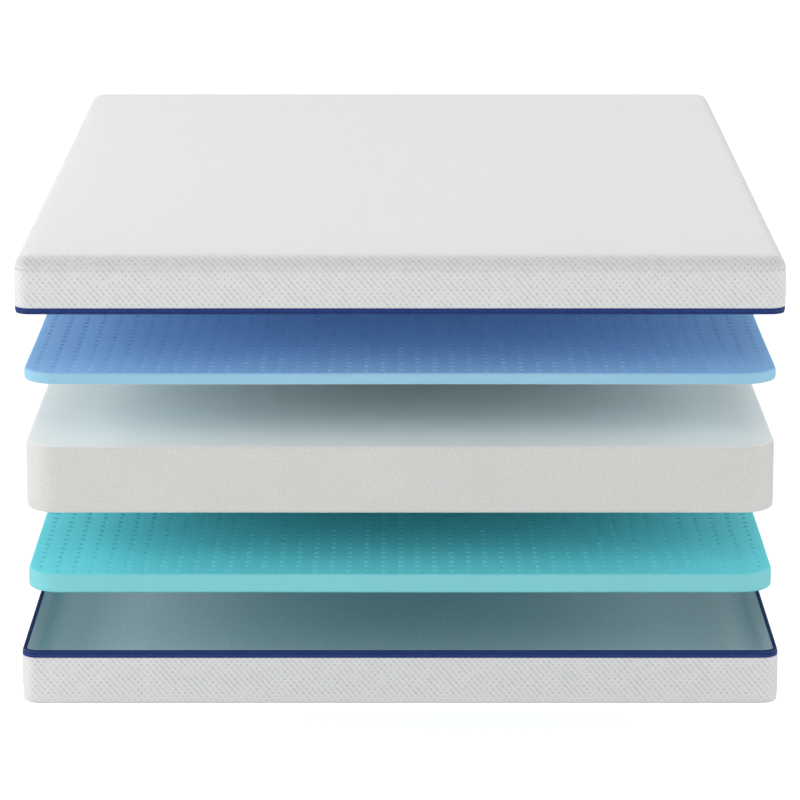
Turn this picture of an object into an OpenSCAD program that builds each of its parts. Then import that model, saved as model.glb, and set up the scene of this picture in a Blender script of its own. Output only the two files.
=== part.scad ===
// Foam mattress in a two-part zip-off cover, shown with its layers lifted apart.
// Origin: centre of the underside. +X across the bed, +Y along it, +Z up. Millimetres.

/* [Mattress] */
// Width of the closed mattress, across the bed
mattress_w = 1372; // [900:1:2000]
// Length of the closed mattress
mattress_l = 1905; // [1800:1:2200]
// Height of the lower cover half, from the floor to its zip
lower_half_h = 97; // [70:1:110]

/* [Foam layers] */
// Thickness of the lowest, perforated teal foam
teal_foam_t = 35; // [25:1:60]
// Thickness of the plain core foam
core_foam_t = 123; // [100:1:200]
// Thickness of the uppermost, perforated blue foam
blue_foam_t = 21; // [18:1:50]
// Room between the lining and the foam, on each side
foam_side_room = 6.4; // [5.5:0.1:15]
// Corner radius of the foam layers, seen from above
foam_corner_r = 62; // [40:1:90]
// Radius on the edges of the two perforated layers
thin_foam_edge_r = 4; // [2:0.5:8]
// Radius on the edges of the core foam
core_foam_edge_r = 5; // [2:0.5:20]
// Air between two layers when the mattress is closed
layer_room = 0.4; // [0.3:0.1:1]

/* [Cover] */
// Thickness of the knitted fabric
knit_t = 3.2; // [2.4:0.1:4]
// Thickness of the lining
lining_t = 0.8; // [0.6:0.1:1.2]
// Thickness of the wadding in the top panel
top_wadding_t = 10; // [6:0.1:12]
// Thickness of the wadding in the base panel
base_wadding_t = 4.6; // [3:0.1:8]
// Corner radius of the cover, seen from above
cover_corner_r = 30; // [28:1:45]
// Radius that the top and base panels turn over the edge with
cover_edge_r = 20; // [17:0.5:24]
// Air between two plies of the cover
ply_room = 0.1; // [0.05:0.05:0.2]

/* [Zip] */
// Height of the coloured edging on each half: binding, bare tape and teeth
edging_h = 11; // [9.5:0.1:16]
// Bare tape between the binding and the teeth
tape_show = 2.8; // [2.4:0.1:3.5]
// Thickness of the zip tape
tape_t = 1.2; // [0.8:0.1:1.4]
// Height of one row of teeth
teeth_h = 2.6; // [2:0.1:3]
// Thickness of the teeth, through the wall
teeth_t = 2.8; // [2.4:0.1:3]
// Opening between the two rows of teeth when the mattress is closed
chain_room = 2; // [1.8:0.1:3]
// Thickness of the binding under the tape's lower edge
binding_fold_t = 1; // [0.6:0.1:1.5]
// Distance from the left side to the zip's far end, along the rear wall
zip_end_inset = 160; // [100:1:300]
// Bare tape from the zip's far end to its start
zip_end_room = 30; // [20:1:60]
// Length of the retainer box at the zip's start, and of the pin that enters it
retainer_l = 8; // [6:0.5:12]
// Length of the two end stops
stop_l = 3; // [2:0.5:5]

/* [Slider] */
// Length of the slider
slider_l = 16; // [12:0.5:22]
// Thickness of the slider's plates, and of the retainer box's walls
plate_t = 1.2; // [0.8:0.1:1.5]
// Running room between the slider and the zip
run_room = 0.3; // [0.2:0.05:0.35]
// Room between the teeth and the slider's lips
lip_room = 0.5; // [0.3:0.1:0.7]
// Height of the lips that hold the slider on the tape
lip_h = 1; // [0.6:0.1:1.2]
// Length of the post that keeps the two rows of teeth apart
post_l = 3; // [2:0.5:5]
// Radius of the pin that carries the pull
pull_pin_r = 0.8; // [0.6:0.05:1]
// Radial room between that pin and the pull's eye
pull_pin_room = 0.08; // [0.05:0.01:0.1]
// Wall of the pull's eye round the pin
eye_wall = 0.9; // [0.7:0.05:1.2]
// Width of the pull's eye, between the slider's lugs
eye_w = 4.4; // [3:0.1:5]
// Thickness of the two lugs
lug_t = 1.1; // [0.8:0.1:1.5]
// Length of the pull, from its pin to its tip
pull_l = 26; // [18:1:40]
// Width of the pull
pull_w = 7.4; // [6:0.1:9]
// Thickness of the pull
pull_t = 1.4; // [1:0.1:1.6]

/* [Layers lifted apart] */
// From the lower half's zip up to the teal foam
gap_teal = 108; // [20:1:200]
// From the teal foam up to the core foam
gap_core = 114; // [20:1:200]
// From the core foam up to the blue foam
gap_blue = 114; // [20:1:200]
// From the blue foam up to the upper half's zip
gap_top = 109; // [20:1:200]

/* [Hidden] */
$fn = 48;

// Plies of the cover: distances inwards from its outer face
lining_in = knit_t + ply_room;
wall_t = lining_in + lining_t;

// Foam plan
foam_w = mattress_w - 2 * (wall_t + foam_side_room);
foam_l = mattress_l - 2 * (wall_t + foam_side_room);

// Heights of the two cover halves
base_stack_t = knit_t + base_wadding_t + lining_t;
top_stack_t = knit_t + top_wadding_t + lining_t;
foam_stack_t = teal_foam_t + core_foam_t + blue_foam_t + 4 * layer_room;
closed_h = base_stack_t + foam_stack_t + top_stack_t;
upper_half_h = closed_h - lower_half_h - chain_room;

// Where each layer hangs while lifted
teal_z = lower_half_h + gap_teal;
core_z = teal_z + teal_foam_t + gap_core;
blue_z = core_z + core_foam_t + gap_blue;
upper_z = blue_z + blue_foam_t + gap_top;
top_z = upper_z + upper_half_h;

// Zip, measured inwards from the cover's outer face
binding_h = edging_h - tape_show - teeth_h;
tape_in = (wall_t - tape_t) / 2;
teeth_in = (wall_t - teeth_t) / 2;
plate_in = teeth_in - run_room;
channel_t = teeth_t + 2 * run_room;

// The zip's ends and the slider, along and across the rear wall
rear_y = mattress_l / 2;
zip_far_x = -mattress_w / 2 + zip_end_inset;
zip_start_x = zip_far_x + zip_end_room;
slider_x = zip_start_x + run_room + slider_l / 2;
chain_z = lower_half_h + chain_room / 2;
plate_half_h = chain_room / 2 + teeth_h + lip_room + lip_h;
plate_out_y = rear_y - plate_in + plate_t;
eye_r = pull_pin_r + pull_pin_room + eye_wall;
pull_y = plate_out_y + run_room + eye_r;

// Colours
KNIT = [0.93, 0.94, 0.94];
LINING = [0.88, 0.90, 0.91];
WADDING = [0.96, 0.96, 0.94];
NAVY = [0.12, 0.19, 0.42];
METAL = [0.72, 0.73, 0.75];

// A box from one corner, with sizes that may be written as they lie.
module block(from, size) {
    translate(from) cube(size);
}

// One straight side: the cross-section's x = 0 lies on the outer face.
module straight(out, run) {
    translate([out, run / 2, 0])
        rotate([90, 0, 0])
            linear_extrude(height = run) children();
}

// Carries a cross-section round a rounded rectangle. It is drawn with x = 0 on the
// outer face, x below 0 inwards and y up, and reaches no further in than corner_r.
module around(w, l, corner_r) {
    for (turn = [0, 180]) {
        rotate(turn) straight(w / 2, l - 2 * corner_r) children();
        rotate(turn + 90) straight(l / 2, w - 2 * corner_r) children();
    }
    for (sx = [-1, 1], sy = [-1, 1])
        translate([sx * (w / 2 - corner_r), sy * (l / 2 - corner_r), 0])
            rotate(sx > 0 ? (sy > 0 ? 0 : 270) : (sy > 0 ? 90 : 180))
                rotate_extrude(angle = 90)
                    translate([corner_r, 0]) children();
}

// Fills the middle of what around() leaves open, from z_low upwards.
module middle(w, l, corner_r, z_low, t) {
    translate([0, 0, z_low + t / 2])
        cube([w - 2 * corner_r, l - 2 * corner_r, t], center = true);
}

// A foam layer: a slab whose edges are rounded above and below.
module foam_layer(t, edge_r) {
    around(foam_w, foam_l, foam_corner_r) {
        union() {
            translate([-foam_corner_r, 0]) square([foam_corner_r - edge_r, t]);
            translate([-edge_r, edge_r]) square([edge_r, t - 2 * edge_r]);
            for (y = [edge_r, t - edge_r]) translate([-edge_r, y]) circle(r = edge_r);
        }
    }
    middle(foam_w, foam_l, foam_corner_r, 0, t);
}

// Cross-section of a cover half lying on its panel, from `inset` inside its outer
// face, `low` above the floor, and up to `high`.
module cover_inside(inset, low, high) {
    intersection() {
        union() {
            translate([-cover_corner_r, inset]) square([cover_corner_r - cover_edge_r, high - inset]);
            translate([-cover_edge_r, cover_edge_r]) circle(r = cover_edge_r - inset);
            translate([-cover_edge_r, cover_edge_r]) square([cover_edge_r - inset, high - cover_edge_r]);
        }
        translate([-cover_corner_r, low]) square([cover_corner_r, high - low]);
    }
}

module cover_around() {
    around(mattress_w, mattress_l, cover_corner_r) children();
}

module cover_middle(z_low, t) {
    middle(mattress_w, mattress_l, cover_corner_r, z_low, t);
}

// The knitted panel, turned up over the edge as far as its seam.
module half_panel() {
    cover_around() {
        difference() {
            cover_inside(0, 0, 2 * cover_edge_r);
            cover_inside(knit_t, 0, 3 * cover_edge_r);
            translate([-cover_corner_r, cover_edge_r]) square([2 * cover_corner_r, 2 * cover_edge_r]);
        }
    }
    cover_middle(0, knit_t);
}

// The wadding that fills the panel.
module half_wadding(t) {
    cover_around() {
        intersection() {
            cover_inside(lining_in, 0, 3 * cover_edge_r);
            translate([-cover_corner_r, knit_t]) square([cover_corner_r, t]);
        }
    }
    cover_middle(knit_t, t);
}

// The lining: a thin tray on the wadding, with walls up to the binding.
module half_lining(wadding_t, half_h) {
    low = knit_t + wadding_t;
    high = half_h - edging_h;
    cover_around() {
        difference() {
            cover_inside(lining_in, low, high);
            cover_inside(wall_t, low + lining_t, high + 1);
        }
    }
    cover_middle(low, lining_t);
}

// The knitted wall, from the panel's seam to the binding.
module half_border(half_h) {
    cover_around() {
        translate([-knit_t, cover_edge_r]) square([knit_t, half_h - edging_h - cover_edge_r]);
    }
}

// The binding: folded round the tape, on top of the wall.
module half_binding(half_h) {
    cover_around() {
        difference() {
            translate([-wall_t, half_h - edging_h]) square([wall_t, binding_h]);
            translate([-tape_in - tape_t - ply_room, half_h - edging_h + binding_fold_t])
                square([tape_t + 2 * ply_room, binding_h]);
        }
    }
}

module half_tape(half_h) {
    cover_around() {
        translate([-tape_in - tape_t, half_h - edging_h + binding_fold_t])
            square([tape_t, edging_h - teeth_h - binding_fold_t]);
    }
}

// One row of teeth, left out along the rear wall where the zip starts and ends.
module half_teeth(half_h) {
    difference() {
        cover_around() {
            translate([-teeth_in - teeth_t, half_h - teeth_h]) square([teeth_t, teeth_h]);
        }
        block([zip_far_x - stop_l, rear_y - wall_t - 1, half_h - teeth_h - 1],
              [zip_end_room + stop_l, wall_t + 2, teeth_h + 2]);
    }
}

// A stop: a clip over the tape's edge, after the last tooth.
module half_stop(half_h) {
    clip_h = teeth_h + lip_room;
    difference() {
        block([zip_far_x - stop_l, rear_y - plate_in - channel_t, half_h - clip_h],
              [stop_l, channel_t, clip_h]);
        block([zip_far_x - stop_l - 1, rear_y - tape_in - tape_t - ply_room, half_h - clip_h - 1],
              [stop_l + 2, tape_t + 2 * ply_room, lip_room + 1]);
    }
}

// Turns a cover half upside down, so that its panel is on top at height z.
module turned_over(z) {
    translate([0, 0, z]) mirror([0, 0, 1]) children();
}

module base_panel() {
    color(KNIT) half_panel();
}

module base_wadding() {
    color(WADDING) half_wadding(base_wadding_t);
}

module bottom_lining() {
    color(LINING) half_lining(base_wadding_t, lower_half_h);
}

module bottom_border() {
    color(KNIT) half_border(lower_half_h);
}

module bottom_binding() {
    color(NAVY) half_binding(lower_half_h);
}

module bottom_zip_tape() {
    color(NAVY) half_tape(lower_half_h);
}

module bottom_zip_teeth() {
    color(NAVY) half_teeth(lower_half_h);
}

module bottom_zip_stop() {
    color(METAL) half_stop(lower_half_h);
}

// The retainer box: a seat on the tape's edge, between two walls that are open above.
module zip_retainer_box() {
    x = zip_start_x - retainer_l;
    low = lower_half_h - teeth_h - lip_room - lip_h;
    high = lower_half_h + chain_room + teeth_h - run_room;
    color(METAL) difference() {
        block([x, rear_y - plate_in - channel_t - plate_t, low],
              [retainer_l, channel_t + 2 * plate_t, high - low]);
        block([x - 1, rear_y - plate_in - channel_t, lower_half_h],
              [retainer_l + 2, channel_t, high]);
        block([x - 1, rear_y - tape_in - tape_t - ply_room, low - 1],
              [retainer_l + 2, tape_t + 2 * ply_room, lower_half_h - teeth_h - low + 1]);
    }
}

// The slider: two plates joined by the post, with lips below the lower row of teeth.
// The side above the upper row is open, so that the upper half can lift straight off.
module zip_slider() {
    x = slider_x - slider_l / 2;
    low = chain_z - plate_half_h;
    post_h = chain_room - 2 * run_room;
    lip_reach = tape_in - plate_in - run_room;
    lug_z = eye_w / 2 + run_room;
    lug_r = eye_r - run_room;
    color(METAL) {
        for (y = [rear_y - plate_in, rear_y - plate_in - channel_t - plate_t])
            block([x, y, low], [slider_l, plate_t, 2 * plate_half_h]);
        block([x, rear_y - plate_in - lip_reach, low], [slider_l, lip_reach, lip_h]);
        block([x, rear_y - plate_in - channel_t, low], [slider_l, lip_reach, lip_h]);
        block([x + slider_l - 2 * post_l, rear_y - plate_in - channel_t, chain_z - post_h / 2],
              [post_l, channel_t, post_h]);
        for (z = [chain_z - lug_z - lug_t, chain_z + lug_z]) {
            translate([slider_x, pull_y, z]) cylinder(r = lug_r, h = lug_t);
            block([slider_x - lug_r, plate_out_y - plate_t, z],
                  [2 * lug_r, pull_y - plate_out_y + plate_t, lug_t]);
        }
        translate([slider_x, pull_y, chain_z - lug_z - lug_t])
            cylinder(r = pull_pin_r, h = 2 * (lug_z + lug_t));
    }
}

// The pull, lying along the zip and turning on the slider's pin.
module zip_pull() {
    neck_l = 2 * eye_r;
    tip_r = pull_w / 2;
    color(METAL) translate([slider_x, pull_y, chain_z]) difference() {
        union() {
            cylinder(r = eye_r, h = eye_w, center = true);
            block([-neck_l - 1, -pull_t / 2, -eye_w / 2], [neck_l + 1, pull_t, eye_w]);
            block([-pull_l + tip_r, -pull_t / 2, -tip_r], [pull_l - tip_r - neck_l, pull_t, pull_w]);
            translate([-pull_l + tip_r, 0, 0])
                rotate([90, 0, 0]) cylinder(r = tip_r, h = pull_t, center = true);
        }
        cylinder(r = pull_pin_r + pull_pin_room, h = eye_w + 2, center = true);
    }
}

module teal_foam() {
    color([0.42, 0.76, 0.78]) translate([0, 0, teal_z]) foam_layer(teal_foam_t, thin_foam_edge_r);
}

module core_foam() {
    color([0.90, 0.90, 0.88]) translate([0, 0, core_z]) foam_layer(core_foam_t, core_foam_edge_r);
}

module blue_foam() {
    color([0.45, 0.66, 0.86]) translate([0, 0, blue_z]) foam_layer(blue_foam_t, thin_foam_edge_r);
}

module top_panel() {
    color(KNIT) turned_over(top_z) half_panel();
}

module top_wadding() {
    color(WADDING) turned_over(top_z) half_wadding(top_wadding_t);
}

module top_lining() {
    color(LINING) turned_over(top_z) half_lining(top_wadding_t, upper_half_h);
}

module top_border() {
    color(KNIT) turned_over(top_z) half_border(upper_half_h);
}

module top_binding() {
    color(NAVY) turned_over(top_z) half_binding(upper_half_h);
}

module top_zip_tape() {
    color(NAVY) turned_over(top_z) half_tape(upper_half_h);
}

module top_zip_teeth() {
    color(NAVY) turned_over(top_z) half_teeth(upper_half_h);
}

module top_zip_stop() {
    color(METAL) turned_over(top_z) half_stop(upper_half_h);
}

// The insert pin: a plain block on the upper tape's edge that the retainer box takes.
module zip_insert_pin() {
    color(METAL) block([zip_start_x - retainer_l, rear_y - teeth_in - teeth_t, upper_z],
                       [retainer_l, teeth_t, teeth_h]);
}

base_panel();
base_wadding();
bottom_lining();
bottom_border();
bottom_binding();
bottom_zip_tape();
bottom_zip_teeth();
bottom_zip_stop();
zip_retainer_box();
zip_slider();
zip_pull();
teal_foam();
core_foam();
blue_foam();
top_panel();
top_wadding();
top_lining();
top_border();
top_binding();
top_zip_tape();
top_zip_teeth();
top_zip_stop();
zip_insert_pin();
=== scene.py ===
import math

import bpy
import numpy as np
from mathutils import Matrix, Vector


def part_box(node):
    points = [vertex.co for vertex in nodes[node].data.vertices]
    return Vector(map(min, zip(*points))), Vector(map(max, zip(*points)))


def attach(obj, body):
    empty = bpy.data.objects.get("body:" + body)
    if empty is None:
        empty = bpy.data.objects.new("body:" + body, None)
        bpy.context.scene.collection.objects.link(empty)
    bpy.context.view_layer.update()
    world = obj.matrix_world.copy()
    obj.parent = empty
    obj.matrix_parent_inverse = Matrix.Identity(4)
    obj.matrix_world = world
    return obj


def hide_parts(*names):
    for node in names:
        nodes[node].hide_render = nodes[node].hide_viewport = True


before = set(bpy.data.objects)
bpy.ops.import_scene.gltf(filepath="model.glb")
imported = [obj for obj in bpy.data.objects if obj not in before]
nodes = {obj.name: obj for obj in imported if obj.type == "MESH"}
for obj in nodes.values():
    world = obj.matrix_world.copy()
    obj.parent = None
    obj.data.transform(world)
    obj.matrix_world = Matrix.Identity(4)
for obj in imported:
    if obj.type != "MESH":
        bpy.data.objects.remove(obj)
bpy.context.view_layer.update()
print("frame loaded:", len(nodes), "solids")

fullTurn = 2 * math.pi
coverHalf = tuple(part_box("bottom_border")[1])[:2]

# What the cover's pieces share, in metres
cover = {
    "corner": 0.030,        # corner radius, seen from above
    "knit": 0.0032,
    "lining": 0.0008,
    "wall": 0.0041,
    "cell": 0.016,          # spacing of the grid over a panel
    "turnRows": 13,         # grid rows round the turned edge
    "step": 0.012,          # spacing along the wall
    "bendSteps": 12,        # steps round each corner
    "stretched": 0.8,       # share of the wall's pattern that is lost at the corners
    "drawnIn": 0.0001,      # how far the stitching pulls a seam in
    "softness": 0.0020,     # height over which the fabric comes back out
    "waves": (7.3, 3.1),    # how fast a wall's slow wave runs along it, in radians per metre
}


# A grid of vertex numbers becomes quads: each number with its neighbours along both directions.
def joinGrid(ids, closedRows=False, closedCols=False):
    if closedRows:
        ids = np.vstack([ids, ids[:1]])
    if closedCols:
        ids = np.hstack([ids, ids[:, :1]])
    quads = np.stack([ids[:-1, :-1], ids[:-1, 1:], ids[1:, 1:], ids[1:, :-1]], -1)
    return quads.reshape(-1, 4)


# Six times the volume that a closed shell holds is the sum of the triple products of its triangles;
# it is below zero where the faces point inwards.
def pointsInwards(points, quads):
    a, b, c, d = (points[quads[:, k]] for k in range(4))
    return (a * (np.cross(b, c) + np.cross(c, d))).sum() < 0


# Puts points and faces into a new mesh. clothUv gives each face corner its place in the cloth, in metres.
# Each mark is a value for each point, and materials read it by name: "openedAndShaded" is how much of the
# knit's pattern and its painted shade show, from 0 where it lies flat to 1 where it bends over an edge, with
# painted shade above 0.5, and "cut" is 1 on a foam block's cut sides, which painted light gives a tone of
# their own.
def newPiece(name, points, quads, clothUv=None, marks=None):
    mesh = bpy.data.meshes.new(name)
    mesh.from_pydata(points.tolist(), [], quads.tolist())
    mesh.polygons.foreach_set("use_smooth", np.ones(len(quads), bool))
    if clothUv is not None:
        mesh.uv_layers.new(name="cloth").uv.foreach_set("vector", clothUv.astype(np.float32).ravel())
    for mark, values in (marks or {}).items():
        made = mesh.attributes.new(mark, "FLOAT", "POINT").data
        made.foreach_set("value", values.astype(np.float32).ravel())
    mesh.validate()
    mesh.update()
    piece = bpy.data.objects.new(name, mesh)
    bpy.context.scene.collection.objects.link(piece)
    return piece


# A rounded rectangle walked from the left end of the rear side towards +X and on round: each side is a
# straight run, then a quarter circle about the corner's centre. Gives points and outward directions at the
# distances asked for, measured along the outer face, moved inwards by inset.
def wallPath(at, inset=0.0):
    corner = cover["corner"]
    a, b = coverHalf[0] - corner, coverHalf[1] - corner
    posts = np.array([[-a, b], [a, b], [a, -b], [-a, -b], [-a, b]])
    runs = np.array([2 * a, 2 * b, 2 * a, 2 * b])
    bend = corner * fullTurn / 4
    start = np.concatenate([[0], np.cumsum(runs + bend)])
    at = np.asarray(at) % start[-1]
    side = np.searchsorted(start, at, side="right") - 1
    gone = at - start[side]
    straight = np.clip(gone / runs[side], 0, 1)[:, None]
    turned = np.clip((gone - runs[side]) / bend, 0, 1)
    angle = fullTurn / 4 * (1 - side - turned)
    out = np.stack([np.cos(angle), np.sin(angle)], -1)
    centre = posts[side] * (1 - straight) + posts[side + 1] * straight
    return centre + (corner - inset) * out, out


# Distances along that path for one lap: even steps on the straight runs, and a few round each corner.
def lapStops():
    bend, stops, begun = cover["corner"] * fullTurn / 4, [], 0.0
    for k in range(4):
        run = 2 * (coverHalf[k % 2] - cover["corner"])
        stops.append(np.linspace(begun, begun + run, round(run / cover["step"]), endpoint=False))
        stops.append(np.linspace(begun + run, begun + run + bend, cover["bendSteps"], endpoint=False))
        begun += run + bend
    return np.concatenate(stops), begun


# How far along that path the middle of the front is.
def frontMiddle():
    a, b = coverHalf[0] - cover["corner"], coverHalf[1] - cover["corner"]
    return 3 * a + 2 * b + cover["corner"] * fullTurn / 2


# Rounds the corners of a closed line of points: each corner becomes an arc that is a quadratic blend between
# the points at the given distance before and after it.
def roundedLine(points, cuts, steps=4):
    points = np.asarray(points, float)
    t = np.linspace(0, 1, steps + 1)[:, None]
    done = []
    for k, (point, cut) in enumerate(zip(points, cuts)):
        before, after = points[k - 1], points[(k + 1) % len(points)]
        enter = point + (before - point) / np.linalg.norm(before - point) * cut
        leave = point + (after - point) / np.linalg.norm(after - point) * cut
        done.append((1 - t) ** 2 * enter + 2 * t * (1 - t) * point + t ** 2 * leave)
    return np.concatenate(done)


# Carries a closed cross-section round the cover's wall. Its points are (distance inwards, height); wave
# moves the whole section in and out along the way, as the product of two sines. The cloth is measured from
# the middle of the front and up. Its knit's pattern and painted shade are set by openedAndShaded for each
# point of the section, and less round the corners, where it is stretched: there by (2 x y)^2 of the outward
# direction.
def carryRound(name, section, wave=0.0, openedAndShaded=None):
    stops, lap = lapStops()
    spots, out = wallPath(stops)
    quick, slow = cover["waves"]
    inwards = section[:, :1] - wave * np.sin(stops * quick) * np.sin(stops * slow + 1)
    flat = spots[None] - inwards[..., None] * out[None]
    points = np.dstack([flat, np.broadcast_to(section[:, 1:, None], flat.shape[:2] + (1,))])
    ids = np.arange(points.shape[0] * points.shape[1]).reshape(points.shape[:2])
    u = np.append(stops, lap) - frontMiddle()
    v = np.append(section[:, 1], section[0, 1])
    grid = np.stack(np.meshgrid(u, v), -1)
    corners = np.stack([grid[:-1, :-1], grid[:-1, 1:], grid[1:, 1:], grid[1:, :-1]], 2).reshape(-1, 4, 2)
    points, quads = points.reshape(-1, 3), joinGrid(ids, True, True)
    if pointsInwards(points, quads):
        quads, corners = quads[:, ::-1], corners[:, ::-1]
    marks = {}
    if openedAndShaded is not None:
        marks["openedAndShaded"] = openedAndShaded[:, None] * (1 - cover["stretched"] * (2 * out[:, 0] * out[:, 1]) ** 2)
    return newPiece(name, points, quads, corners, marks)


# A panel with its edge turned: whole steps on an inner rectangle, and beyond it rings numbered s. A point
# of ring s lies rho[s] from the rectangle, in a direction that turns evenly from side to side, at height
# zeta[s]. The cloth is measured along its surface, and its pattern meets the wall's at the front.
def turnedPanel(name, rho, zeta, openedAndShaded, faceUp):
    rings = len(rho) - 1
    inner = [h - cover["corner"] for h in coverHalf]
    axes, beyond = [], []
    for h in inner:
        count = round(2 * h / cover["cell"])
        k = np.arange(-rings, count + rings + 1)
        axes.append(np.clip(k, 0, count) / count * 2 * h - h)
        beyond.append(np.minimum(k, 0) + np.maximum(k - count, 0))
    x, y = np.meshgrid(*axes, indexing="ij")
    kx, ky = np.meshgrid(*beyond, indexing="ij")
    s = np.maximum(abs(kx), abs(ky))
    angle = fullTurn / 8 * np.minimum(abs(kx), abs(ky)) / np.maximum(s, 1)
    mostlyX = abs(kx) >= abs(ky)
    dirX = np.where(mostlyX, np.cos(angle), np.sin(angle)) * np.sign(kx)
    dirY = np.where(mostlyX, np.sin(angle), np.cos(angle)) * np.sign(ky)
    points = np.stack([x + rho[s] * dirX, y + rho[s] * dirY, zeta[s]], -1)
    reach = np.concatenate([[0], np.cumsum(np.hypot(np.diff(rho), np.diff(zeta)))])
    way = 1 if zeta[-1] < zeta[0] else -1
    up = zeta[-1] + way * (y + reach[s] * dirY + inner[1] + reach[-1])
    laid = np.stack([-x - reach[s] * dirX, up], -1).reshape(-1, 2)
    quads = joinGrid(np.arange(s.size).reshape(s.shape))    # rows along X, columns along Y: these face down
    if faceUp:
        quads = quads[:, ::-1]
    return newPiece(name, points.reshape(-1, 3), quads, laid[quads], {"openedAndShaded": openedAndShaded[s]}), s.ravel()


# The shading stays even across a face right up to its holes: the points of both faces keep plain normals.
def levelOut(piece, upper, lower):
    mesh = piece.data
    normals = np.empty(len(mesh.vertices) * 3, np.float32)
    mesh.vertex_normals.foreach_get("vector", normals)
    normals = normals.reshape(-1, 3)
    normals[upper], normals[lower] = (0.0, 0.0, 1.0), (0.0, 0.0, -1.0)
    mesh.normals_split_custom_set_from_vertices(normals.tolist())


def thicken(piece, thickness):
    wall = piece.modifiers.new("thickness", "SOLIDIFY")
    wall.thickness, wall.offset = thickness, -1
    wall.use_even_offset = True


# (radius, depth) of the rings that round a hole's mouth: a shallow dish, then the punched wall
punchedLip = {
    "top": [(0.0076, 0.0), (0.0061, 0.0007), (0.0050, 0.0018), (0.0046, 0.0038)],
    "bottom": [(0.0054, 0.0), (0.0045, 0.0012)],
}
# What the cut foam blocks share, in metres
foamBlock = {
    "lip": None,
    "pitch": 0.0311,        # spacing of the holes, or of the grid where there are none
    "margin": 0.009,        # from the outermost grid line to the sides
    "inset": 0.0,           # how much smaller than its solid it is made, all round
    "corner": 0.062,        # corner radius, seen from above
    "edge": 0.004,          # radius of the edge, made in edgeSteps
    "edgeSteps": 4,
    "uneven": 0.0004,       # how far the cut sides run in and out
    "sideWaves": (9.3, 8.1),    # how fast they do so, along Y and along X, in radians per metre
    "sideBand": 0.01,       # how far inside the grid's edge that reaches
    "faceShare": 0.35,      # share of uneven by which the faces rise and fall; closed layers touch with more
    "faceWaves": (5.1, 3.7),    # how fast they do so, along X and along Y
}
foams = {
    "tealFoam": {
        **foamBlock, "node": "teal_foam", "body": "teal_layer", "slot": "teal_foam", "lip": punchedLip,
        "wallRows": 4, "phase": 0.7, "fill": 0.9,
    },
    "coreFoam": {
        **foamBlock, "node": "core_foam", "body": "core_layer", "slot": "core_foam", "pitch": 0.031,
        "edge": 0.005, "edgeSteps": 5, "wallRows": 8, "phase": 2.1, "fill": 1.0,
    },
    "blueFoam": {
        **foamBlock, "node": "blue_foam", "body": "blue_layer", "slot": "blue_foam", "lip": punchedLip,
        "wallRows": 3, "phase": 4.0, "fill": 0.8,
    },
}


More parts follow.
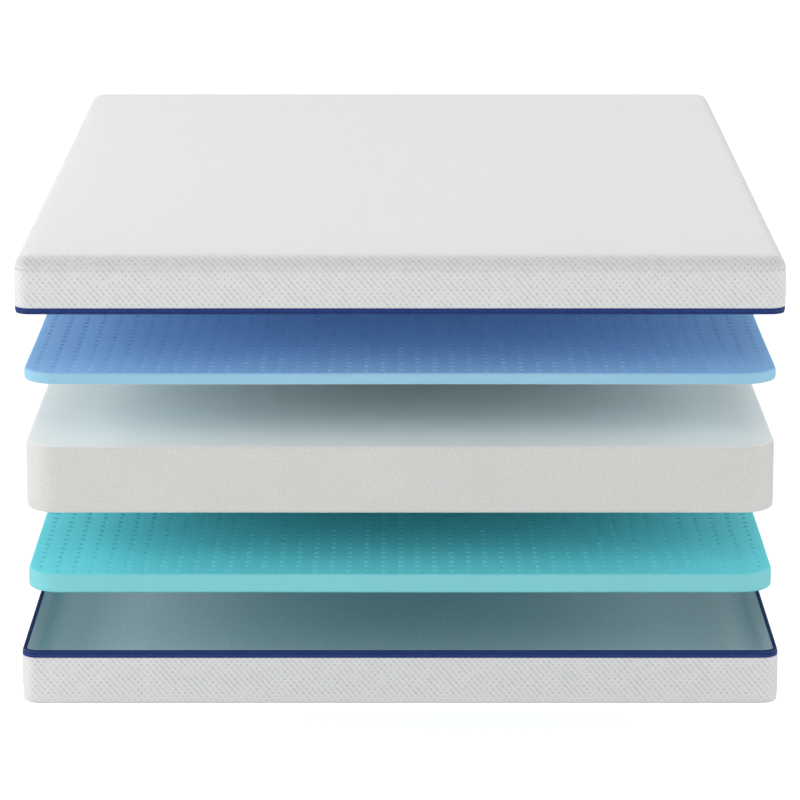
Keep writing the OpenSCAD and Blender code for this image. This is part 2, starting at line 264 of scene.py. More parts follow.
# One foam layer. Its faces are a lattice of half cells. Where it is perforated, each cell's middle point
# gives way to a ring of eight, and more rings line the hole down through the layer. The rim is the
# lattice's edge carried outwards along its own normals and down a rounded profile.
def foamLayer(name, values):
    low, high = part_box(values["node"])
    margin, edge = values["margin"], values["edge"]
    thick = high.z - low.z
    half = np.array([high.x, high.y]) - margin - values["inset"]
    cells = np.round(2 * half / values["pitch"]).astype(int)
    corner = values["corner"] - margin

    # Inside a corner's square of side r, (a, b) goes to (a sqrt(1 - b^2 / 2 r^2), b sqrt(1 - a^2 / 2 r^2)).
    def roundCorners(flat):
        a = np.maximum(abs(flat) - (half - corner), 0)
        squeezed = a * np.sqrt(1 - a[..., ::-1] ** 2 / (2 * corner ** 2))
        both = (a > 0).all(-1, keepdims=True)
        return np.where(both, np.sign(flat) * (half - corner + squeezed), flat)

    i, j = np.meshgrid(*[np.arange(2 * n + 1) for n in cells], indexing="ij")
    lattice = np.stack([i, j], -1) * half / cells - half
    kept = np.ones(i.shape, bool)
    if values["lip"]:
        kept[1::2, 1::2] = False
    topId = np.where(kept, np.cumsum(kept).reshape(kept.shape) - 1, -1)
    flat = roundCorners(lattice[kept])
    onFace = len(flat)
    points = [np.column_stack([flat, np.full(onFace, z)]) for z in (high.z, low.z)]
    count = 2 * onFace
    faces = []

    if values["lip"]:
        eighths = np.arange(8) * fullTurn / 8
        unit = np.stack([np.cos(eighths), np.sin(eighths)], -1)
        steps = np.rint(unit).astype(int)                # to the eight neighbours
        odd = [np.arange(n) * 2 + 1 for n in cells]
        middle = np.stack(np.meshgrid(*odd, indexing="ij"), -1).reshape(-1, 2)
        near = (middle[:, None] + steps[None]).reshape(-1, 8, 2)
        outer = topId[near[..., 0], near[..., 1]]
        centres = middle * half / cells - half
        levels = [(r, high.z - d) for r, d in values["lip"]["top"]]
        levels += [(r, low.z + d) for r, d in values["lip"]["bottom"][::-1]]
        rings = []
        for radius, z in levels:
            spots = roundCorners(centres[:, None] + radius * unit[None])
            rings.append(np.dstack([spots, np.full(spots.shape[:2], z)]))
        rings = np.stack(rings, 1)                       # cell, level, corner, xyz
        ringId = count + np.arange(rings.size // 3).reshape(rings.shape[:3])
        points.append(rings.reshape(-1, 3))
        count += rings.size // 3
        nextOuter, nextRing, under = np.roll(outer, -1, 1), np.roll(ringId, -1, 2), outer + onFace
        faces.append(np.stack([outer, nextOuter, nextRing[:, 0], ringId[:, 0]], -1))
        faces.append(np.stack([ringId[:, -1], nextRing[:, -1], np.roll(under, -1, 1), under], -1))
        faces.append(np.stack([ringId[:, :-1], nextRing[:, :-1], nextRing[:, 1:], ringId[:, 1:]], -1))
    else:
        faces.append(joinGrid(topId)[:, ::-1])
        faces.append(joinGrid(topId + onFace))

    border = np.concatenate([topId[:-1, 0], topId[-1, :-1], topId[:0:-1, -1], topId[0, :0:-1]])
    edgeFlat = flat[border]
    beyond = np.maximum(abs(edgeFlat) - (half - corner), 0)
    onStraight = beyond >= corner - 1e-9                 # with room for rounding
    out = np.sign(edgeFlat) * np.where(onStraight.any(1, keepdims=True), onStraight * 1.0, beyond)
    out /= np.linalg.norm(out, axis=1, keepdims=True)
    phi = np.linspace(0, fullTurn / 4, values["edgeSteps"] + 1)
    bendOut = margin - edge + edge * np.sin(phi)
    bendDown = edge * (1 - np.cos(phi))
    walls = np.linspace(edge, thick - edge, values["wallRows"] + 1)[1:-1]
    reach = np.concatenate([bendOut, np.full(len(walls), margin), bendOut[::-1]])
    fall = np.concatenate([bendDown, walls, thick - bendDown[::-1]])
    rows = edgeFlat[None] + reach[:, None, None] * out[None]
    rim = np.dstack([rows, np.broadcast_to((high.z - fall)[:, None, None], rows.shape[:2] + (1,))])
    rimId = count + np.arange(rim.size // 3).reshape(rim.shape[:2])
    points.append(rim.reshape(-1, 3))
    bands = np.vstack([border[None], rimId, (border + onFace)[None]])
    faces.append(joinGrid(bands, closedCols=True)[:, ::-1])

    # A cut block is never quite flat: its sides run in and out by a slow sine, and its faces rise and fall by
    # the product of two.
    points = np.concatenate(points)
    x, y = points.T[:2].copy()
    phase, uneven, band = values["phase"], values["uneven"], values["sideBand"]
    faceX, faceY = values["faceWaves"]
    sideY, sideX = values["sideWaves"]
    points[:, 2] += values["faceShare"] * uneven * np.sin(x * faceX + phase) * np.sin(y * faceY + 2 * phase)
    points[:, 0] += uneven * np.sin(y * sideY + phase) * np.sign(x) * (abs(x) > half[0] - band)
    points[:, 1] += uneven * np.sin(x * sideX + phase) * np.sign(y) * (abs(y) > half[1] - band)
    onRim = np.arange(len(points)) >= count
    piece = newPiece(name, points, np.concatenate([f.reshape(-1, 4) for f in faces]), marks={"cut": onRim})
    if values["lip"]:
        upper = np.append(np.arange(onFace), ringId[:, 0])
        lower = np.append(np.arange(onFace, 2 * onFace), ringId[:, -1])
        levelOut(piece, upper, lower)
    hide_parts(values["node"])
    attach(piece, values["body"])


for name, values in foams.items():
    foamLayer(name, values)
    print("foam layer made:", name)


# Both halves of the cover are worked out lying on their panel, and the upper one is then turned over: a
# height z above the panel's face becomes base + way * z.
halves = {
    # turn: radius that the panel turns over the edge with; seamOpenedAndShaded: how much knit pattern and
    # painted shade show at the seam between panel and wall, 0 below, which paints the bottom edge lighter,
    # 0.6 above, where painted shade darkens the turned edge; fade: height over which it then comes to its
    # usual state
    "bottom": {"base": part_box("base_panel")[0].z, "way": 1, "body": "lower_cover", "panel": "base_panel",
               "wadding": "base_wadding", "turn": 0.005, "seamOpenedAndShaded": 0.0, "fade": 0.014},
    "top": {"base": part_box("top_panel")[1].z, "way": -1, "body": "upper_cover", "panel": "top_panel",
            "wadding": "top_wadding", "turn": 0.025, "seamOpenedAndShaded": 0.6, "fade": 0.006},
}


# How high a node reaches above its half's panel face: (lowest, highest).
def heights(half, node):
    low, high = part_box(node)
    return sorted([(low.z - half["base"]) * half["way"], (high.z - half["base"]) * half["way"]])


def standing(half, section):
    section = np.array(section)
    section[:, 1] = half["base"] + half["way"] * section[:, 1]
    return section


def dress(piece, half, node):
    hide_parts(node)
    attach(piece, half["body"])


puff = {
    "pressure": 4.0, "frames": 20, "quality": 4, "mass": 0.3, "stiffness": 60.0,
    "freeRings": 2,         # rings of the turned edge that aren't held
    "most": 0.0028,         # the most that the panel may rise
    "plainRise": 0.03,
    "plainReach": 1.1,      # how soon that bulge ends
    "ripple": 0.0005,       # slow unevenness of the wadding below it
    "rippleFrom": 0.002,    # rise at which the ripple is full
    "waves": (9.1, 7.7, 17, 13),    # how fast it runs: across, along, and both on the slant
}


# The upper panel is blown up a little by the wadding under it: a short cloth simulation with air pressure,
# its edge held. A rise d is then softened to m d / (m + d), where m is the most that it may be.
def puffUp(piece, ring, half):
    mesh = piece.data
    start = np.empty(len(mesh.vertices) * 3, np.float32)
    mesh.vertices.foreach_get("co", start)
    start = start.reshape(-1, 3)
    held = piece.vertex_groups.new(name="held")
    held.add(np.flatnonzero(ring > puff["freeRings"]).tolist(), 1.0, "REPLACE")
    cloth = piece.modifiers.new("cloth", "CLOTH")
    cloth.settings.quality = puff["quality"]
    cloth.settings.mass = puff["mass"]
    cloth.settings.tension_stiffness = puff["stiffness"]
    cloth.settings.compression_stiffness = puff["stiffness"]
    cloth.settings.vertex_group_mass = "held"
    cloth.settings.use_pressure = True
    cloth.settings.uniform_pressure_force = puff["pressure"]
    cloth.settings.effector_weights.gravity = 0
    cloth.collision_settings.use_collision = False
    cloth.point_cache.frame_start, cloth.point_cache.frame_end = 1, puff["frames"]
    scene = bpy.context.scene
    for step in range(1, puff["frames"] + 1):
        scene.frame_set(step)
    blown = piece.evaluated_get(bpy.context.evaluated_depsgraph_get())
    end = np.empty_like(start)
    blown.data.vertices.foreach_get("co", end.ravel())
    rise = np.clip((end[:, 2] - start[:, 2]) * -half["way"], 0, None)
    piece.modifiers.remove(cloth)
    piece.vertex_groups.remove(held)
    scene.frame_set(1)
    print("panel blown up, highest rise in mm:", round(float(rise.max()) * 1000, 1))
    soft = puff["most"] * rise / (puff["most"] + rise)
    across, along, slantX, slantY = puff["waves"]
    slow = np.sin(start[:, 0] * across + 1.3) * np.sin(start[:, 1] * along)
    slow = slow + np.sin(start[:, 0] * slantX + start[:, 1] * slantY)
    soft += puff["ripple"] * 0.5 * slow * np.clip(rise / puff["rippleFrom"], 0, 1)
    start[:, 2] -= half["way"] * soft
    mesh.vertices.foreach_set("co", start.ravel())
    mesh.update()


# openedAndShaded: how much knit pattern and painted shade show at these angles round the turned edge, in
# degrees, as shares that the half's own seamOpenedAndShaded then scales; above 0.5 painted shade darkens the
# edge, most at 64 degrees
panelShape = {"angles": (0, 25, 45, 64, 80, 90), "openedAndShaded": (0.1, 0.7, 0.95, 1, 0.75, 0.6)}


# The panel's profile: flat, then a quarter circle of the turning radius up to the seam, which is drawn in.
def makePanel(name, half):
    turn, rings = half["turn"], cover["turnRows"]
    flatPart = cover["corner"] - turn
    phi = np.linspace(0, fullTurn / 4, rings - 1)
    rho = np.concatenate([[0, flatPart / 2], flatPart + turn * np.sin(phi)])
    rise = np.concatenate([[0, 0], turn * (1 - np.cos(phi))])
    openedAndShaded = np.interp(phi / fullTurn * 360, panelShape["angles"], panelShape["openedAndShaded"])
    openedAndShaded = np.append([0, 0], openedAndShaded) * (half["seamOpenedAndShaded"] / openedAndShaded[-1])
    rho[-1] -= cover["drawnIn"]
    piece, ring = turnedPanel(name, rho, half["base"] + half["way"] * rise, openedAndShaded, half["way"] < 0)
    if half["way"] < 0:
        puffUp(piece, ring, half)
    thicken(piece, cover["knit"])
    dress(piece, half, half["panel"])


wallShape = {
    "rows": 25, "innerRows": 5,
    "swell": 0.0006, "wave": 0.0003,
    "pout": 0.0007,         # how far the knit bulges just before the binding
    "poutBelow": 0.0024, "poutWidth": 0.0014,   # how far below the binding's end, and how tall that bulge is
    "tuck": 0.0015,         # how far it then rolls in under the binding
    "tuckWidth": 0.0007,
    "openedAndShaded": 0.5,          # how much knit pattern and painted pit shade show away from the seam, with no painted bend shade
}


# The wall: a closed strip of the knit's thickness. Its outer face swells by a half sine wave between its two
# seams; before the binding it pouts by a bell curve, and then rolls in.
def makeBorder(name, half, node):
    low, high = half["turn"], heights(half, node)[1]
    z = low + (high - low) * (1 - np.cos(np.linspace(0, fullTurn / 2, wallShape["rows"]))) / 2
    swell = wallShape["swell"] * np.sin(math.pi * (z - low) / (high - low))
    pout = wallShape["pout"] * np.exp(-((high - z - wallShape["poutBelow"]) / wallShape["poutWidth"]) ** 2)
    pinch = cover["drawnIn"] * np.exp(-(z - low) / cover["softness"])
    tuck = wallShape["tuck"] * np.exp(-(high - z) / wallShape["tuckWidth"])
    outer = np.column_stack([pinch + tuck - swell - pout, z])
    count, usual = wallShape["innerRows"], wallShape["openedAndShaded"]
    inner = np.column_stack([np.full(count, cover["knit"]), np.linspace(high, low, count)])
    openedAndShaded = np.interp(z - low, (0, half["fade"]), (half["seamOpenedAndShaded"], usual))
    openedAndShaded = np.append(openedAndShaded, np.full(count, usual))
    piece = carryRound(name, standing(half, np.vstack([outer, inner])), wallShape["wave"], openedAndShaded)
    dress(piece, half, node)
    lapStops()[1]


bindingShape = {
    "groove": 0.0014,
    "over": 0.0012,         # how far its fold reaches up over the bare tape
    "cuts": (0.0009, 0.0011, 0.0005, 0.0002, 0.0002, 0.0005, 0.0009, 0.0008),   # roundness of each corner
}


# The binding's section: a strip folded into a U that holds the zip tape in its groove.
def makeBinding(name, half, node, tapeNode):
    low, high = heights(half, node)
    high += bindingShape["over"]
    tapeLow = heights(half, tapeNode)[0]
    wall = cover["wall"]
    left, right = (wall - bindingShape["groove"]) / 2, (wall + bindingShape["groove"]) / 2
    corners = [
        (0, low), (0, high), (left, high), (left, tapeLow),
        (right, tapeLow), (right, high), (wall, high), (wall, low),
    ]
    section = roundedLine(corners, bindingShape["cuts"])
    dress(carryRound(name, standing(half, section)), half, node)


tapeShape = {"thick": 0.0012, "intoTeeth": 0.0021, "cuts": (0.0003, 0.0005, 0.0005, 0.0003)}


# The tape: a plain strip, whose upper edge reaches in between the teeth.
def makeTape(name, half, node):
    low, high = heights(half, node)
    high += tapeShape["intoTeeth"]
    near, far = (cover["wall"] - tapeShape["thick"]) / 2, (cover["wall"] + tapeShape["thick"]) / 2
    section = roundedLine([(near, low), (near, high), (far, high), (far, low)], tapeShape["cuts"], 3)
    dress(carryRound(name, standing(half, section)), half, node)


flapShape = {
    "thick": 0.0008,
    "above": 0.0019,        # how far it reaches past the teeth
    "back": 0.0053,         # its distance inwards, clear of the slider
    "rise": 0.0036,         # height over which it leans inwards
    "offLining": 0.0002, "offWall": 0.0001,
    "cuts": (0.0002, 0.0008, 0.0003, 0.0003, 0.0008, 0.0002),
}


# The flap behind the zip: a strip that stands on the lining's edge, leans inwards and then stands straight.
# It covers the slit between the rows of teeth when the cover is closed.
def makeFlap(name, half, liningNode, teethNode):
    low = heights(half, liningNode)[1] + flapShape["offLining"]
    high = heights(half, teethNode)[1] + flapShape["above"]
    foot, back, thick = cover["wall"] + flapShape["offWall"], flapShape["back"], flapShape["thick"]
    bend = low + flapShape["rise"]
    corners = [
        (foot, low), (back, bend), (back, high),
        (back + thick, high), (back + thick, bend), (foot + thick, low),
    ]
    section = roundedLine(corners, flapShape["cuts"], 3)
    piece = carryRound(name, standing(half, section))
    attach(piece, half["body"])


# Copies one small shape along the wall: its points are (along, outwards, height).
def repeatAlong(name, shape, faces, at, inset, half):
    spots, out = wallPath(at, inset)
    along = np.stack([out[:, 1], -out[:, 0]], -1)
    flat = spots[:, None] + shape[None, :, :1] * along[:, None] + shape[None, :, 1:2] * out[:, None]
    z = np.broadcast_to(half["base"] + half["way"] * shape[None, :, 2:], flat.shape[:2] + (1,))
    points = np.dstack([flat, z]).reshape(-1, 3)
    quads = (faces[None] + (np.arange(len(at)) * len(shape))[:, None, None]).reshape(-1, 4)
    return newPiece(name, points, quads[:, ::-1] if pointsInwards(points, quads) else quads)


toothShape = {
    "pitch": 0.0032,
    "squareness": 0.6,      # 1 makes its rings round, and less makes them squarer
    # share of the height, half length, half thickness
    "rings": [
        (0.0, 0.0011, 0.0013), (0.36, 0.0012, 0.0014), (0.5, 0.0007, 0.0010), (0.68, 0.0007, 0.0010),
        (0.8, 0.0013, 0.0012), (1.0, 0.0010, 0.0009),
    ],
}


# One tooth, and then as many as fit round the wall between the zip's end and its start. The tooth is a stack
# of eight-sided rings: a foot that clasps the tape, a neck, and a wider head.
def makeTeeth(name, half, node):
    low, high = heights(half, node)
    around = (np.arange(8) + 0.5) * fullTurn / 8
    square = np.stack([np.cos(around), np.sin(around)], -1)
    square = np.sign(square) * abs(square) ** toothShape["squareness"]
    shape = np.concatenate([
        np.column_stack([square[:, 0] * a, square[:, 1] * b, np.full(8, low + share * (high - low))])
        for share, a, b in toothShape["rings"]
    ])
    ids = np.arange(len(shape)).reshape(-1, 8)
    lid = np.array([[0, 1, 2, 3], [0, 3, 4, 7], [4, 5, 6, 7]])
    faces = np.concatenate([joinGrid(ids, closedCols=True), lid[:, ::-1], lid + len(shape) - 8])
    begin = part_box("zip_retainer_box")[1].x + coverHalf[0] - cover["corner"]
    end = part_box("bottom_zip_stop")[0].x + coverHalf[0] - cover["corner"]
    run = lapStops()[1] - (begin - end)
    number = int(run / toothShape["pitch"])
    at = begin + (np.arange(number) + 0.5) * run / number
    dress(repeatAlong(name, shape, faces, at, cover["wall"] / 2, half), half, node)


stitchShape = {
    "pitch": 0.0040, "length": 0.0031, "thick": 0.0003,
    "down": 0.0012,         # distance below the binding's fold
    "outwards": 0.8, "upwards": 1.2,    # how much of that thickness it has each way
    # share of the half length, share of the thickness
    "rings": [(-1.0, 0.4), (-0.65, 1.0), (0.65, 1.0), (1.0, 0.4)],
}


# A row of stitches along the binding: each is a thread bead, a stack of six-sided rings that swells and
# closes at its ends, half sunk in the cloth.
def makeStitches(name, half, node):
    middle = heights(half, node)[1] - stitchShape["down"]
    around = np.arange(6) * fullTurn / 6
    shape = []
    for share, size in stitchShape["rings"]:
        radius = size * stitchShape["thick"]
        along = np.full(6, share * stitchShape["length"] / 2)
        outwards = radius * np.cos(around) * stitchShape["outwards"]
        upwards = radius * np.sin(around) * stitchShape["upwards"]
        shape.append(np.column_stack([along, outwards, middle + upwards]))
    shape = np.concatenate(shape)
    ids = np.arange(len(shape)).reshape(-1, 6)
    lid = np.array([[0, 1, 2, 3], [0, 3, 4, 5]])
    faces = np.concatenate([joinGrid(ids, closedCols=True), lid[:, ::-1], lid + len(shape) - 6])
    lap = lapStops()[1]
    number = int(lap / stitchShape["pitch"])
    at = (np.arange(number) + 0.5) * lap / number
    piece = repeatAlong(name, shape, faces, at, 0.0, half)
    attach(piece, half["body"])


liningShape = {"bend": 0.009, "steps": 6}


# The lining: flat on the wadding, then turned up the wall to the binding.
def makeLining(name, half, node):
    low, high = heights(half, node)
    thick, bend, steps = cover["lining"], liningShape["bend"], liningShape["steps"]
    reach = cover["corner"] - cover["wall"] - bend
    phi = np.linspace(0, fullTurn / 4, steps + 1)
    rho = np.concatenate([[0], reach + bend * np.sin(phi), np.full(steps, reach + bend)])
    turned = low + thick + bend * (1 - np.cos(phi))
    rise = np.concatenate([[low + thick], turned, np.linspace(turned[-1], high, steps + 1)[1:]])
    unopened = np.zeros(len(rho))
    piece = turnedPanel(name, rho, half["base"] + half["way"] * rise, unopened, half["way"] > 0)[0]
    thicken(piece, thick)
    dress(piece, half, node)


waddingShape = {
    **foamBlock, "slot": "wadding", "pitch": 0.06, "margin": 0.012, "inset": 0.012, "corner": 0.018,
    "wallRows": 2, "uneven": 0.0, "phase": 1.0, "fill": 0.4,
    "rounded": 0.45,        # radius of its edge as a share of its thickness
}


# Wadding: a pad with soft rounded edges that fills the panel between the knit and the lining.
def makeWadding(name, half, node):
    low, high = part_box(node)
    edge = (high.z - low.z) * waddingShape["rounded"]
    foamLayer(name, {**waddingShape, "node": node, "body": half["body"], "edge": edge})


for side, half in halves.items():
    makePanel(side + "Panel", half)
    makeWadding(side + "Wadding", half, half["wadding"])
    makeLining(side + "Lining", half, side + "_lining")
    makeBorder(side + "Border", half, side + "_border")
    makeBinding(side + "Binding", half, side + "_binding", side + "_zip_tape")
    makeStitches(side + "Stitches", half, side + "_binding")
    makeTape(side + "Tape", half, side + "_zip_tape")
    makeTeeth(side + "Teeth", half, side + "_zip_teeth")
    print("cover half made:", side)
makeFlap("bottomFlap", halves["bottom"], "bottom_lining", "bottom_zip_teeth")


# Helpers for a node tree: each makes one node and gives one of its outputs.
class Tree:
    def __init__(self, tree):
        self.nodes, self.links = tree.nodes, tree.links

    def put(self, socket, value):
        if isinstance(value, bpy.types.NodeSocket):
            self.links.new(value, socket)
        elif value is not None:
            socket.default_value = value

    def add(self, kind, *inputs, output=0, **settings):
        made = self.nodes.new(kind)
        for key, value in settings.items():
            setattr(made, key, value)
        for socket, value in zip(made.inputs, inputs):
            self.put(socket, value)
        return made.outputs[output]

    def calc(self, operation, a, b=None):
        return self.add("ShaderNodeMath", a, b, operation=operation)

    def dot(self, vector, direction):
        return self.add("ShaderNodeVectorMath", vector, direction, operation="DOT_PRODUCT", output="Value")

    def wave(self, vector, direction, kind="SINE"):
        return self.calc(kind, self.dot(vector, tuple(fullTurn * d for d in direction)))

    def noise(self, vector, scale, detail=2.0):
        return self.add("ShaderNodeTexNoise", vector, None, scale, detail)

    def span(self, value, fromLow, fromHigh, toLow, toHigh):
        return self.add("ShaderNodeMapRange", value, fromLow, fromHigh, toLow, toHigh)

    def scaled(self, colour, factor):
        return self.add("ShaderNodeVectorMath", colour, None, None, factor, operation="SCALE")

    def bump(self, height, distance):
        made = self.nodes.new("ShaderNodeBump")
        self.put(made.inputs["Height"], height)
        self.put(made.inputs["Distance"], distance)
        return made.outputs[0]

    def blend(self, factor, first, second):
        made = self.nodes.new("ShaderNodeMix")
        made.data_type = "RGBA"
        self.put(made.inputs[0], factor)
        for socket, colour in ((made.inputs[6], first), (made.inputs[7], second)):
            self.put(socket, (*colour, 1) if isinstance(colour, tuple) else colour)
        return made.outputs[2]


# Makes a material from a recipe: a function that takes the tree and gives the shader's sockets their values.
def finish(name, recipe, *values):
    material = bpy.data.materials.new(name)
    material.use_nodes = True
    t = Tree(material.node_tree)
    shader = t.nodes["Principled BSDF"]
    look = recipe(t, *values)
    look["Normal"] = t.bump(*look.pop("relief"))
    for socket, value in look.items():
        t.put(shader.inputs[socket], value)
    return material


knitLook = {
    "across": 0.0113,       # spacing of the slanting ribs along the wall
    "up": 0.0132,           # the same up the wall
    # The first colour is the knit's own; the second is painted shade laid on its sunk ground.
    "light": (0.866, 0.866, 0.866), "pitShade": (0.63, 0.635, 0.64),
    "patchScale": 34, "depthScale": 75,     # noise for where grooves show, and for how deep the tucks are
    "loops": (0.0017, 0.0013), "loopHeight": 0.12,      # the loops' width and height, and how far they rise
    "relief": 0.0004,
    "grooves": 0.45,        # how deep the ground between the ribs sinks, and how much painted shade it gets there, where a tuck is 1
    "flatContrast": 0.4,    # how much of the pattern, and of its painted pit shade, shows where the cloth lies flat: this paints the flat top and the bottom edge lighter
    "bendPaintedShade": 0.88,      # painted shade: how much darker the colour is made where the cloth bends over the top's edge
}


# Jacquard knit: ribs slant down to the right along cos(a), and tucks lie where cos(a) and cos(b), which
# slants the other way, are both high. Ribs and tucks show in turn, in patches, their sunk ground painted with
# shade. Where the cloth lies flat they fade with their painted shade, and where it is bent more painted shade
# darkens it.
def knit(t):
    place = t.add("ShaderNodeUVMap", uv_map="cloth")
    openedAndShaded = t.add("ShaderNodeAttribute", attribute_name="openedAndShaded", output="Fac")
    across, up = 1 / knitLook["across"], 1 / knitLook["up"]
    ribs, crossed = t.wave(place, (across, -up, 0), "COSINE"), t.wave(place, (across, up, 0), "COSINE")
    depth = t.span(t.noise(place, knitLook["depthScale"], 2), 0.35, 0.65, 0.35, 1.15)
    tucks = t.calc("MULTIPLY", t.span(t.calc("ADD", ribs, crossed), 0.85, 1.55, 0.0, 1.0), depth)
    patches = t.span(t.noise(place, knitLook["patchScale"], 3), 0.38, 0.62, 0.0, 1.0)
    grooves = t.calc("MULTIPLY", t.span(ribs, -0.2, 0.8, 0.0, knitLook["grooves"]), patches)
    sunk = t.calc("MAXIMUM", tucks, grooves)
    wide, tall = knitLook["loops"]
    loops = t.calc("MULTIPLY", t.wave(place, (1 / wide, 0, 0)), t.wave(place, (0, 1 / tall, 0)))
    depthAndShade = t.calc("MULTIPLY", sunk, t.span(openedAndShaded, 0, 0.5, knitLook["flatContrast"], 1.0))
    colour = t.blend(depthAndShade, knitLook["light"], knitLook["pitShade"])
    # Painted light and shade of the loops' relief: their crests are made lighter and their hollows darker.
    colour = t.scaled(colour, t.span(loops, -1, 1, 0.95, 1.05))
    # Painted shade: the colour is darkened where the cloth bends over the top's edge.
    colour = t.scaled(colour, t.span(openedAndShaded, 0.5, 1.0, 1.0, knitLook["bendPaintedShade"]))
    height = t.calc("SUBTRACT", t.calc("MULTIPLY", loops, knitLook["loopHeight"]), depthAndShade)
    return {"Base Color": colour, "Roughness": t.span(depthAndShade, 0, 1, 0.8, 0.95), "Specular IOR Level": 0.2,
            "relief": (height, knitLook["relief"])}


liningLook = {"threads": 0.0016, "slubScale": 170, "weaveHeight": 0.15, "relief": 0.0005}


# Plain weave: threads over and under, sin(u) sin(v), with slubs.
def lining(t, low, high):
    place = t.add("ShaderNodeUVMap", uv_map="cloth")
    closeness = 1 / liningLook["threads"]
    weave = t.calc("MULTIPLY", t.wave(place, (closeness, 0, 0)), t.wave(place, (0, closeness, 0)))
    slubs = t.noise(place, liningLook["slubScale"], 4)
    height = t.calc("ADD", t.calc("MULTIPLY", weave, liningLook["weaveHeight"]), slubs)
    return {"Base Color": t.blend(t.span(slubs, 0.35, 0.65, 0, 1), low, high),
            "Roughness": t.span(slubs, 0.3, 0.7, 0.85, 0.95), "Specular IOR Level": 0.25,
            "relief": (height, liningLook["relief"])}


# Loose fibres, as noise at a fibre's scale.
def wadding(t, low, high, fibreScale):
    fibres = t.noise(t.add("ShaderNodeTexCoord", output="Object"), fibreScale, 6)
    return {"Base Color": t.blend(fibres, low, high), "Roughness": t.span(fibres, 0.3, 0.7, 0.9, 1.0),
            "Specular IOR Level": 0.2, "relief": (fibres, 0.0002)}


ribbonLook = {
    "pickShare": 0.7,       # spacing of the picks as a share of the ribs'
    "pickHeight": 0.4, "patchScale": 90, "relief": 0.00006,
}


# Grosgrain: fine ribs across the strip and picks along it, patchy where it is worn.
def ribbed(t, low, high, rib):
    place = t.add("ShaderNodeUVMap", uv_map="cloth")
    ribs = t.wave(place, (1 / rib, 0, 0))
    picks = t.wave(place, (0, 1 / (rib * ribbonLook["pickShare"]), 0))
    mottle = t.calc("ADD", t.calc("MULTIPLY", ribs, 0.25), t.noise(place, ribbonLook["patchScale"], 3))
    height = t.calc("ADD", ribs, t.calc("MULTIPLY", picks, ribbonLook["pickHeight"]))
    return {"Base Color": t.blend(t.span(mottle, 0.2, 0.9, 0, 1), low, high),
            "Roughness": t.span(mottle, 0.2, 0.9, 0.85, 0.7), "Specular IOR Level": 0.3,
            "relief": (height, ribbonLook["relief"])}


# Spun thread: its twist as a slanting wave, with so many turns to the metre along each axis.
def thread(t, low, high, turns):
    twist = t.wave(t.add("ShaderNodeTexCoord", output="Object"), turns)
    return {"Base Color": t.blend(t.span(twist, -1, 1, 0, 1), low, high),
            "Roughness": t.span(twist, -1, 1, 0.6, 0.45), "relief": (twist, 0.00005)}


# Moulded plastic: a faint mottle in colour and gloss.
def moulded(t, low, high, mottleScale):
    mottle = t.noise(t.add("ShaderNodeTexCoord", output="Object"), mottleScale, 2)
    return {"Base Color": t.blend(mottle, low, high), "Roughness": t.span(mottle, 0.3, 0.7, 0.35, 0.5),
            "relief": (mottle, 0.00004)}


# Brushed metal: noise drawn out along the zip by a smaller scale that way.
def brushed(t, low, high, scales):
    place = t.add("ShaderNodeTexCoord", output="Object")
    lines = t.noise(t.add("ShaderNodeVectorMath", place, scales, operation="MULTIPLY"), 1, 3)
    return {"Base Color": t.blend(lines, low, high), "Roughness": t.span(lines, 0.2, 0.8, 0.25, 0.42),
            "Metallic": 1.0, "relief": (lines, 0.00004)}


foamLook = {
    "clumpScale": 190, "cloudScale": 9,
    "faceClumps": 0.3,      # how much of the clumps shows on the faces
    "relief": 0.0055,       # height of the clumps' relief for a speckle of 1
}


# Foam: open cells as fine noise, clumps of larger ones, and slow drift. The clumps show on the cut sides.
# Those, and the underside, get tones apart from the face's by which way they face: painted light and shade.
def foam(t, face, side, under, cellScale, clumped):
    place = t.add("ShaderNodeTexCoord", output="Object")
    cellsFine = t.noise(place, cellScale, 3)
    clumps = t.noise(place, foamLook["clumpScale"], 2)
    cloudy = t.noise(place, foamLook["cloudScale"], 2)
    upright = t.dot(t.add("ShaderNodeNewGeometry", output="Normal"), (0.0, 0.0, 1.0))
    onSide = t.add("ShaderNodeAttribute", attribute_name="cut", output="Fac")
    # Painted light and shade: one foam gets a different tone on its face, its cut sides and its underside, by
    # which way the surface faces.
    colour = t.blend(t.calc("MULTIPLY", t.span(upright, 0.6, 0.97, 1.0, 0.0), onSide), face, side)
    colour = t.blend(t.span(upright, -0.95, -0.3, 1.0, 0.0), colour, under)
    shade = t.calc("ADD", t.calc("MULTIPLY", cellsFine, 0.7), t.calc("MULTIPLY", cloudy, 0.3))
    colour = t.scaled(colour, t.span(shade, 0.3, 0.7, 0.93, 1.01))
    strength = t.span(onSide, 0, 1, clumped * foamLook["faceClumps"], clumped)
    speckle = t.calc("MULTIPLY", t.span(clumps, 0.3, 0.7, -1.0, 1.0), strength)
    height = t.calc("ADD", t.calc("MULTIPLY", cellsFine, 0.4), clumps)
    return {"Base Color": t.scaled(colour, t.calc("ADD", speckle, 1.0)),
            "Roughness": t.span(shade, 0, 1, 0.95, 0.85), "Specular IOR Level": 0.2,
            "relief": (height, clumped * foamLook["relief"])}


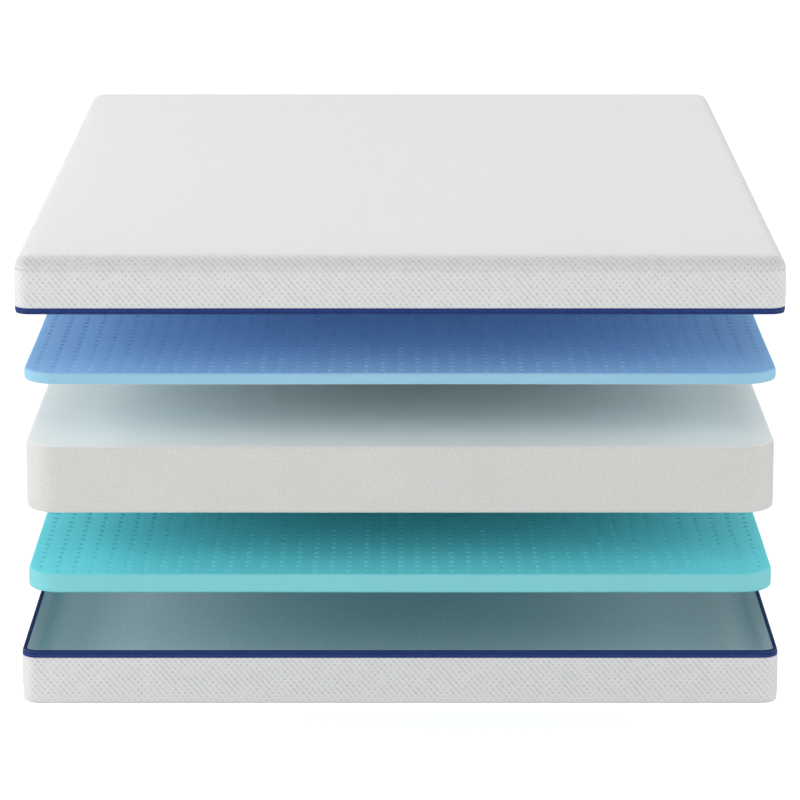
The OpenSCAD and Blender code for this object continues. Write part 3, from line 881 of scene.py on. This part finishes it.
looks = {
    "knit": finish("knit", knit),
    "lowLining": finish("lowLining", lining, (0.80, 0.84, 0.86), (0.95, 0.965, 0.975)),
    # Painted shade colour: the upper lining is the lower one's fabric, tinted blue so that the light it
    # bounces makes the shade on the blue foam below bluer.
    "highLining": finish("highLining", lining, (0.68, 0.76, 0.99), (0.82, 0.88, 1.0)),
    "wadding": finish("wadding", wadding, (0.8, 0.8, 0.77), (0.93, 0.93, 0.91), 420),
    "binding": finish("navyBinding", ribbed, (0.010, 0.034, 0.165), (0.022, 0.056, 0.235), 0.0011),
    "tape": finish("navyTape", ribbed, (0.011, 0.032, 0.155), (0.020, 0.05, 0.22), 0.0014),
    "thread": finish("navyThread", thread, (0.020, 0.05, 0.2), (0.036, 0.08, 0.28), (900, 900, 700)),
    "teeth": finish("zipTeeth", moulded, (0.012, 0.036, 0.165), (0.022, 0.056, 0.235), 500),
    "metal": finish("zipMetal", brushed, (0.5, 0.51, 0.53), (0.66, 0.67, 0.69), (300.0, 4000.0, 4000.0)),
}
# Colours of each foam's face, cut sides and underside, which differ as painted light and shade on one foam,
# then the scale of its cells and its clumps' strength
foamColours = {
    "tealFoam": ((0.185, 0.815, 0.915), (0.275, 0.76, 0.805), (0.08, 0.62, 0.72), 900, 0.02),
    "coreFoam": ((0.985, 0.975, 0.955), (0.79, 0.79, 0.765), (0.85, 0.86, 0.85), 700, 0.04),
    "blueFoam": ((0.335, 0.635, 0.99), (0.38, 0.695, 0.91), (0.66, 0.90, 0.99), 900, 0.02),
}
for name, values in foamColours.items():
    looks[name] = finish(name, foam, *values)
wearing = {
    "Panel": "knit", "Border": "knit", "Wadding": "wadding", "Binding": "binding",
    "Stitches": "thread", "Tape": "tape", "Teeth": "teeth",
}
for side in halves:
    for part, look in wearing.items():
        bpy.data.objects[side + part].data.materials.append(looks[look])
for name, look in (("bottomFlap", "binding"), ("bottomLining", "lowLining"), ("topLining", "highLining")):
    bpy.data.objects[name].data.materials.append(looks[look])
for name in foams:
    bpy.data.objects[name].data.materials.append(looks[name])
metalNodes = (
    "zip_slider", "zip_pull", "zip_retainer_box", "bottom_zip_stop", "top_zip_stop", "zip_insert_pin",
)
for node in metalNodes:
    nodes[node].data.materials.clear()
    nodes[node].data.materials.append(looks["metal"])
print("materials set:", len(looks))


# floorHalf: half the floor's side; lift: the glow that makes the floor white to the camera
stage = {"floorHalf": 60.0, "floorColour": 0.9, "lift": 0.44}


# What sees the white background and the lifted floor: the camera, and mirrors and glass that it sees.
def seenPlainly(t):
    path = t.nodes.new("ShaderNodeLightPath").outputs
    direct = t.calc("MAXIMUM", path["Is Camera Ray"], path["Is Glossy Ray"])
    return t.calc("MAXIMUM", direct, path["Is Transmission Ray"])


def makeFloor():
    half = stage["floorHalf"]
    mesh = bpy.data.meshes.new("floor")
    corners = [(-half, -half, 0), (half, -half, 0), (half, half, 0), (-half, half, 0)]
    mesh.from_pydata(corners, [], [(0, 1, 2, 3)])
    floor = bpy.data.objects.new("floor", mesh)
    bpy.context.scene.collection.objects.link(floor)
    material = bpy.data.materials.new("paleFloor")
    material.use_nodes = True
    material.node_tree.nodes.clear()
    t = Tree(material.node_tree)
    matt = t.add("ShaderNodeBsdfDiffuse", (stage["floorColour"],) * 3 + (1,))
    glow = t.add("ShaderNodeEmission", (1, 1, 1, 1), t.calc("MULTIPLY", seenPlainly(t), stage["lift"]))
    both = t.add("ShaderNodeAddShader", matt, glow)
    t.links.new(both, t.nodes.new("ShaderNodeOutputMaterial").inputs["Surface"])
    mesh.materials.append(material)


# Soft light from all round. Each glow is (direction, sharpness, strength): max(0, cos of the angle to the
# direction) to the power of sharpness.
studio = {
    "glows": [
        ((0.0, -0.883, 0.469), 10.0, 2.1),
        ((0.0, 0.995, 0.105), 10.0, 4.4),
        ((0.0, 0.545, 0.839), 10.0, 1.15),
        ((-0.995, 0.0, 0.105), 10.0, 2.3),
        ((0.995, 0.0, 0.105), 10.0, 1.8),
        ((0.0, -0.6, 0.8), 10.0, 0.6),
        ((0.0, 0.0, 1.0), 8.0, 0.36),
    ],
    # (place, watts) of the square softboxes
    "softboxes": [((-3.0, -6.0, 3.0), 26.0), ((-3.5, 0.0, 2.0), 37.0), ((3.5, 0.0, 2.0), 17.0)],
    "softboxSize": 2.0,
    "aim": (0, 0, 0.45),    # what they point at, near the middle of the object
}


def makeWorld():
    world = bpy.data.worlds.new("studio")
    bpy.context.scene.world = world
    world.use_nodes = True
    world.node_tree.nodes.clear()
    t = Tree(world.node_tree)
    direction = t.add("ShaderNodeTexCoord")
    total = 0.0
    for towards, sharpness, strength in studio["glows"]:
        glow = t.calc("POWER", t.calc("MAXIMUM", t.dot(direction, towards), 0.0), sharpness)
        total = t.calc("ADD", t.calc("MULTIPLY", glow, strength), total)
    light = t.add("ShaderNodeBackground", (1, 1, 1, 1), total)
    white = t.add("ShaderNodeBackground", (1, 1, 1, 1), 1.0)
    both = t.add("ShaderNodeMixShader", seenPlainly(t), light, white)
    t.links.new(both, t.nodes.new("ShaderNodeOutputWorld").inputs["Surface"])


def makeSoftboxes():
    for k, (at, watts) in enumerate(studio["softboxes"]):
        light = bpy.data.lights.new("softbox%d" % k, "AREA")
        light.shape, light.size, light.energy = "SQUARE", studio["softboxSize"], watts
        lamp = bpy.data.objects.new("softbox%d" % k, light)
        bpy.context.scene.collection.objects.link(lamp)
        lamp.location = at
        lamp.rotation_euler = (Vector(studio["aim"]) - Vector(at)).to_track_quat("-Z", "Y").to_euler()


# lens and sensor in millimetres, tilt in degrees below level
viewpoint = {"lens": 180.0, "sensor": 36.0, "farthest": 200.0, "place": (0, -7.9, 2.19), "tilt": 13.16}


def makeCamera():
    lens = bpy.data.cameras.new("camera")
    lens.lens, lens.sensor_width = viewpoint["lens"], viewpoint["sensor"]
    lens.clip_end = viewpoint["farthest"]
    camera = bpy.data.objects.new("camera", lens)
    bpy.context.scene.collection.objects.link(camera)
    camera.location = viewpoint["place"]
    camera.rotation_euler = (math.radians(90 - viewpoint["tilt"]), 0, 0)
    bpy.context.scene.camera = camera


makeFloor()
makeWorld()
makeSoftboxes()
makeCamera()
bpy.context.scene.view_settings.view_transform = "Standard"
print("stage, light and camera set")

bpy.context.view_layer.update()
